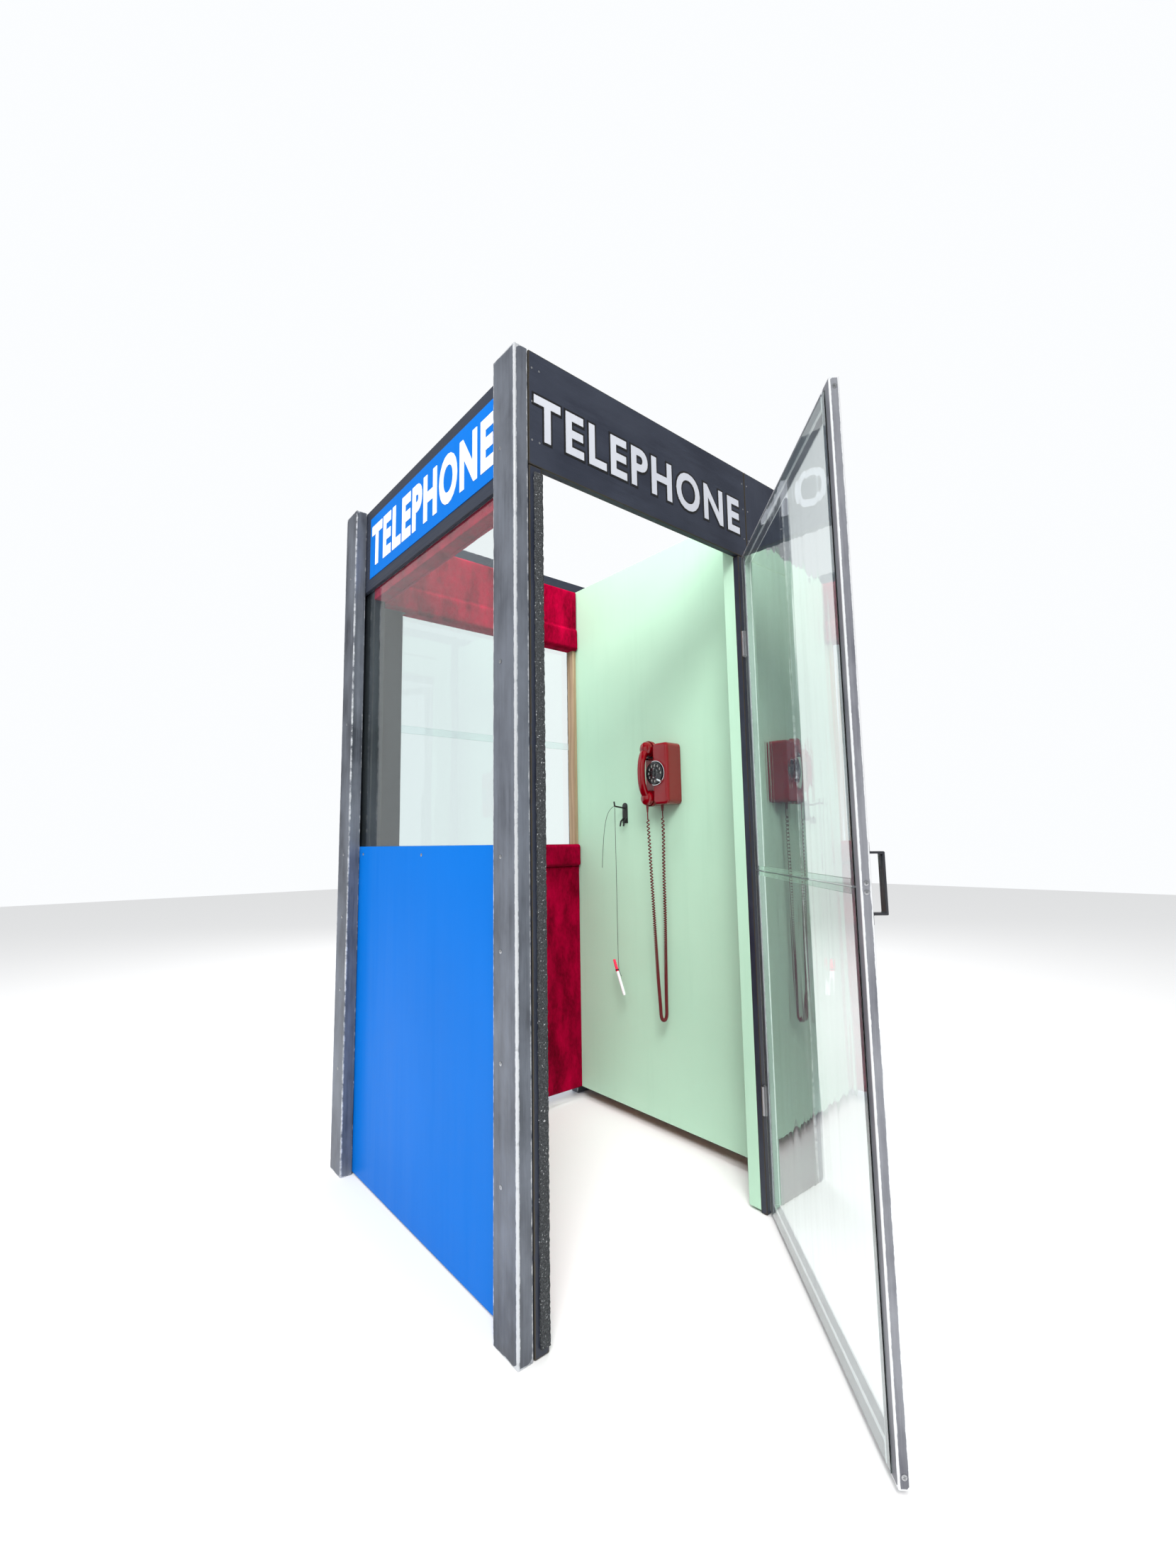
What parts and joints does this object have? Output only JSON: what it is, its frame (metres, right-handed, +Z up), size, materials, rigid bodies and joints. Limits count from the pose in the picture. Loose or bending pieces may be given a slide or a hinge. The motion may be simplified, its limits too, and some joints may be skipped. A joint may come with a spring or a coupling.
{
  "type": "telephone booth",
  "caption": "Open-topped wooden telephone booth with a glazed hinged door, windows, velvet-lined walls and a rotary wall phone on a curly cord.",
  "frame": {"origin": "centre of the rectangle between the outer faces of the four corner posts, on the ground", "axes": "+X from the left wall to the right wall that carries the phone, +Y from the front with the door to the back, +Z up"},
  "size_m": [1.111, 1.6276, 2.134],
  "materials": {
    "posts": "graphite paint rubbed with silver over 2x4 lumber",
    "boards": "graphite paint with rubbed silver smudges",
    "frames": "bare softwood studs",
    "blue_panel": "bright blue gloss paint on plywood",
    "mint_panel": "mint green eggshell paint on hardboard",
    "acrylic": "clear acrylic sheet",
    "velvet": "crushed crimson velvet over board",
    "foam": "rough open-cell foam weatherstrip",
    "steel": "zinc plated",
    "door_paint": "graphite paint rubbed with aluminium",
    "black_metal": "black enamel",
    "red_plastic": "glossy moulded red",
    "dial_black": "gloss black with white ring marks",
    "chrome": "polished",
    "cord_red": "dark red vinyl",
    "pink_plastic": "translucent pink-red",
    "white_plastic": "white",
    "string": "black waxed string"
  },
  "bodies": {
    "booth": {"front_left_post": "posts", "front_right_post": "posts", "back_left_post": "posts", "back_right_post": "posts", "back_wall_battens": "posts", "left_wall_frame": "frames", "back_wall_frame": "frames", "right_wall_frame": "frames", "front_wall_frame": "frames", "fascia_boards": "boards", "strike_trim": "boards", "hinge_panel": "boards", "foam_tape": "foam", "left_header_board": "boards", "back_header_board": "boards", "sign_panels": "blue_panel", "left_lower_panel": "blue_panel", "back_lower_panel": "blue_panel", "left_window_pane": "acrylic", "back_window_pane": "acrylic", "back_window_splice": "acrylic", "right_outer_panel": "boards", "mint_wall_panel": "mint_panel", "left_velvet_rails": "velvet", "back_velvet_rails": "velvet", "left_lower_velvet": "velvet", "back_lower_velvet": "velvet", "post_screws": "steel", "fascia_nails": "steel", "hinge_fixed_leaves": "steel", "hinge_pins": "steel", "phone_housing": "red_plastic", "phone_backplate": "steel", "dial_plate": "dial_black", "dial_mechanism": "steel", "ringer": "steel", "phone_relief": "cord_red", "phone_cord": "cord_red", "wall_hook": "black_metal", "marker_cap": "pink_plastic", "marker_string": "string", "string_tail": "string"},
    "door": {"door_hinge_stile": "door_paint", "door_free_stile": "door_paint", "door_top_rail": "door_paint", "door_bottom_rail": "door_paint", "door_lower_pane": "acrylic", "door_upper_pane": "acrylic", "door_splice_strip": "acrylic", "door_pull": "black_metal", "door_screws": "steel", "hinge_door_leaves": "steel"},
    "handset": {"handset_grip": "red_plastic", "ear_cap": "red_plastic", "mouth_cap": "red_plastic", "handset_capsules": "steel", "handset_relief": "cord_red"},
    "hook": {"hook_lever": "red_plastic"},
    "dial_wheel": {"finger_wheel": "dial_black"},
    "marker": {"marker_barrel": "white_plastic"}
  },
  "joints": [
    {"name": "door_hinge", "type": "hinge", "parent": "booth", "child": "door", "pos_m": [0.258, -0.5202, 0.93], "axis": [0, 0, 1], "range_deg": [-47.8, 52.2]},
    {"name": "handset_lift", "type": "slide", "parent": "booth", "child": "handset", "axis": [-0.85, 0, 0.5268], "range_m": [0, 0.12]},
    {"name": "hook_switch", "type": "hinge", "parent": "booth", "child": "hook", "pos_m": [0.395, -0.032, 1.295], "axis": [0, 1, 0], "range_deg": [0, 12]},
    {"name": "dial_turn", "type": "hinge", "parent": "booth", "child": "dial_wheel", "pos_m": [0.333, -0.079, 1.24], "axis": [1, 0, 0], "range_deg": [0, 300], "stiffness_Nm_per_rad": 0.004, "springref_deg": -45.84},
    {"name": "marker_pull", "type": "slide", "parent": "booth", "child": "marker", "axis": [0, -0.3907, -0.9205], "range_m": [0, 0.06]}
  ],
  "couplings": [
    {"joint": "hook_switch", "follows": "handset_lift", "rad_per_m": 1.6}
  ]
}
